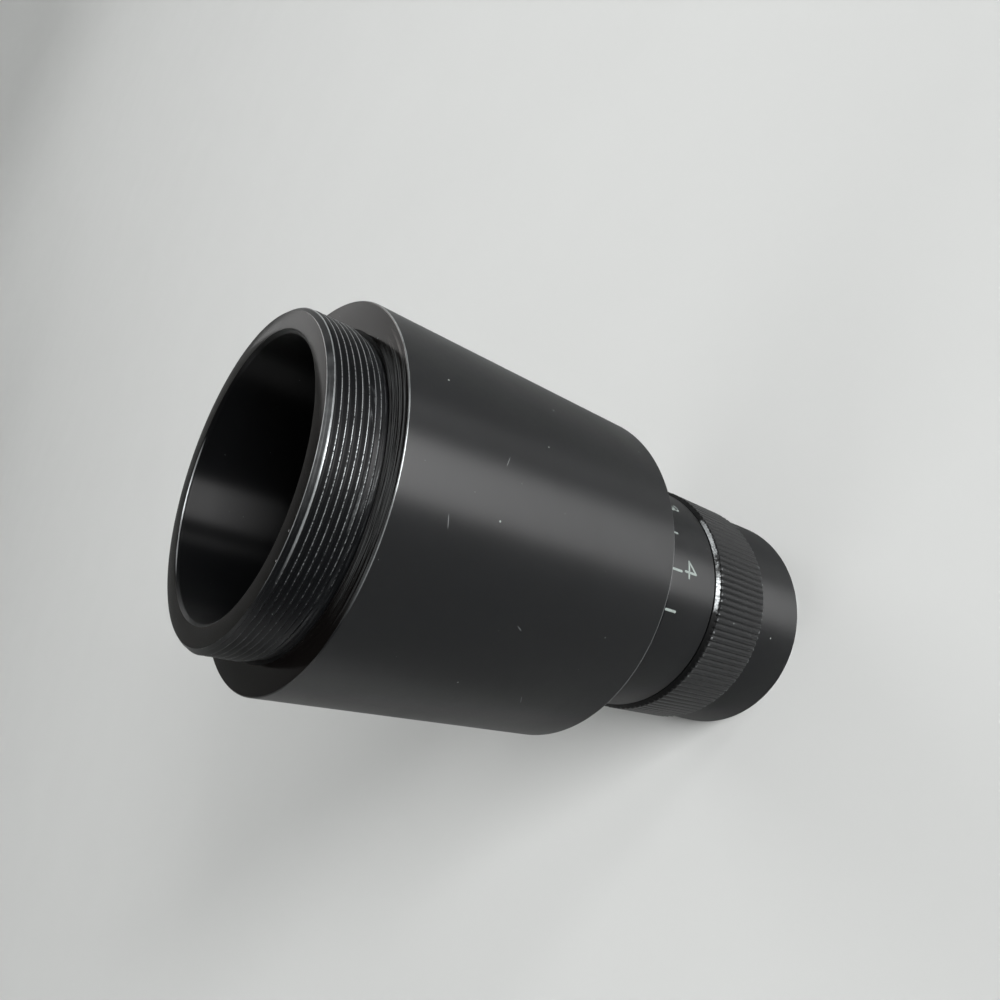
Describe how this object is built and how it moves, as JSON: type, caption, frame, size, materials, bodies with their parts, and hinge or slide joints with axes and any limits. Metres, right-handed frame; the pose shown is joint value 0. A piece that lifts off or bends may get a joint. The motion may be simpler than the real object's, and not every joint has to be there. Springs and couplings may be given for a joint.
{
  "type": "microscope objective",
  "caption": "Long low-power microscope objective: wide black barrel with a fine mounting thread, and a narrow nose whose knurled ring works an inner iris.",
  "frame": {"origin": "centre of the nose face, on which the objective stands", "axes": "+Z along the optical axis, from the nose up to the mounting thread; -Y faces the side seen in the picture; the seam-free turned body has no other natural X"},
  "size_m": [0.046, 0.046, 0.0854],
  "materials": {
    "black_barrel": "satin black anodised, worn to bare metal on the thread crests and edges",
    "black_tube": "satin black anodised",
    "black_ring": "satin black anodised, straight knurl worn bright at its upper chamfer",
    "black_nose": "satin black anodised",
    "matt_black": "matt black against stray light",
    "blued_steel": "blackened steel",
    "leaf_steel": "blackened spring steel",
    "iris_brass": "brass, blackened",
    "optical_glass": "polished, thinly coated"
  },
  "bodies": {
    "tube_body": {"main_barrel": "black_barrel", "lens_tube": "black_tube", "nose_ring": "black_nose", "front_cell": "matt_black", "front_crown_lens": "optical_glass", "front_flint_lens": "optical_glass", "front_lens_ring": "matt_black", "rear_cell": "matt_black", "rear_crown_lens": "optical_glass", "rear_flint_lens": "optical_glass", "rear_lens_ring": "matt_black", "iris_seat": "iris_brass", "iris_retaining_ring": "matt_black"},
    "control_body": {"control_ring": "black_ring", "drive_screw": "blued_steel", "iris_drive_ring": "iris_brass"},
    "leaf_body_1": {"iris_leaf_1": "leaf_steel"},
    "leaf_body_2": {"iris_leaf_2": "leaf_steel"},
    "leaf_body_3": {"iris_leaf_3": "leaf_steel"},
    "leaf_body_4": {"iris_leaf_4": "leaf_steel"},
    "leaf_body_5": {"iris_leaf_5": "leaf_steel"},
    "leaf_body_6": {"iris_leaf_6": "leaf_steel"},
    "leaf_body_7": {"iris_leaf_7": "leaf_steel"},
    "leaf_body_8": {"iris_leaf_8": "leaf_steel"}
  },
  "joints": [
    {"name": "iris_control", "type": "hinge", "parent": "tube_body", "child": "control_body", "pos_m": [0, 0, 0.0269], "axis": [0, 0, 1], "range_deg": [-112.8, 18.8]},
    {"name": "leaf_1_swing", "type": "hinge", "parent": "tube_body", "child": "leaf_body_1", "pos_m": [0.0128, 0, 0.0232], "axis": [0, 0, 1], "range_deg": [-20.57, 3.43]},
    {"name": "leaf_2_swing", "type": "hinge", "parent": "tube_body", "child": "leaf_body_2", "pos_m": [0.00905, 0.00905, 0.0232], "axis": [0, 0, 1], "range_deg": [-20.57, 3.43]},
    {"name": "leaf_3_swing", "type": "hinge", "parent": "tube_body", "child": "leaf_body_3", "pos_m": [0, 0.0128, 0.0232], "axis": [0, 0, 1], "range_deg": [-20.57, 3.43]},
    {"name": "leaf_4_swing", "type": "hinge", "parent": "tube_body", "child": "leaf_body_4", "pos_m": [-0.00905, 0.00905, 0.0232], "axis": [0, 0, 1], "range_deg": [-20.57, 3.43]},
    {"name": "leaf_5_swing", "type": "hinge", "parent": "tube_body", "child": "leaf_body_5", "pos_m": [-0.0128, 0, 0.0232], "axis": [0, 0, 1], "range_deg": [-20.57, 3.43]},
    {"name": "leaf_6_swing", "type": "hinge", "parent": "tube_body", "child": "leaf_body_6", "pos_m": [-0.00905, -0.00905, 0.0232], "axis": [0, 0, 1], "range_deg": [-20.57, 3.43]},
    {"name": "leaf_7_swing", "type": "hinge", "parent": "tube_body", "child": "leaf_body_7", "pos_m": [0, -0.0128, 0.0232], "axis": [0, 0, 1], "range_deg": [-20.57, 3.43]},
    {"name": "leaf_8_swing", "type": "hinge", "parent": "tube_body", "child": "leaf_body_8", "pos_m": [0.00905, -0.00905, 0.0232], "axis": [0, 0, 1], "range_deg": [-20.57, 3.43]}
  ],
  "couplings": [
    {"joint": "leaf_1_swing", "follows": "iris_control", "ratio": 0.18237},
    {"joint": "leaf_2_swing", "follows": "iris_control", "ratio": 0.18237},
    {"joint": "leaf_3_swing", "follows": "iris_control", "ratio": 0.18237},
    {"joint": "leaf_4_swing", "follows": "iris_control", "ratio": 0.18237},
    {"joint": "leaf_5_swing", "follows": "iris_control", "ratio": 0.18237},
    {"joint": "leaf_6_swing", "follows": "iris_control", "ratio": 0.18237},
    {"joint": "leaf_7_swing", "follows": "iris_control", "ratio": 0.18237},
    {"joint": "leaf_8_swing", "follows": "iris_control", "ratio": 0.18237}
  ]
}
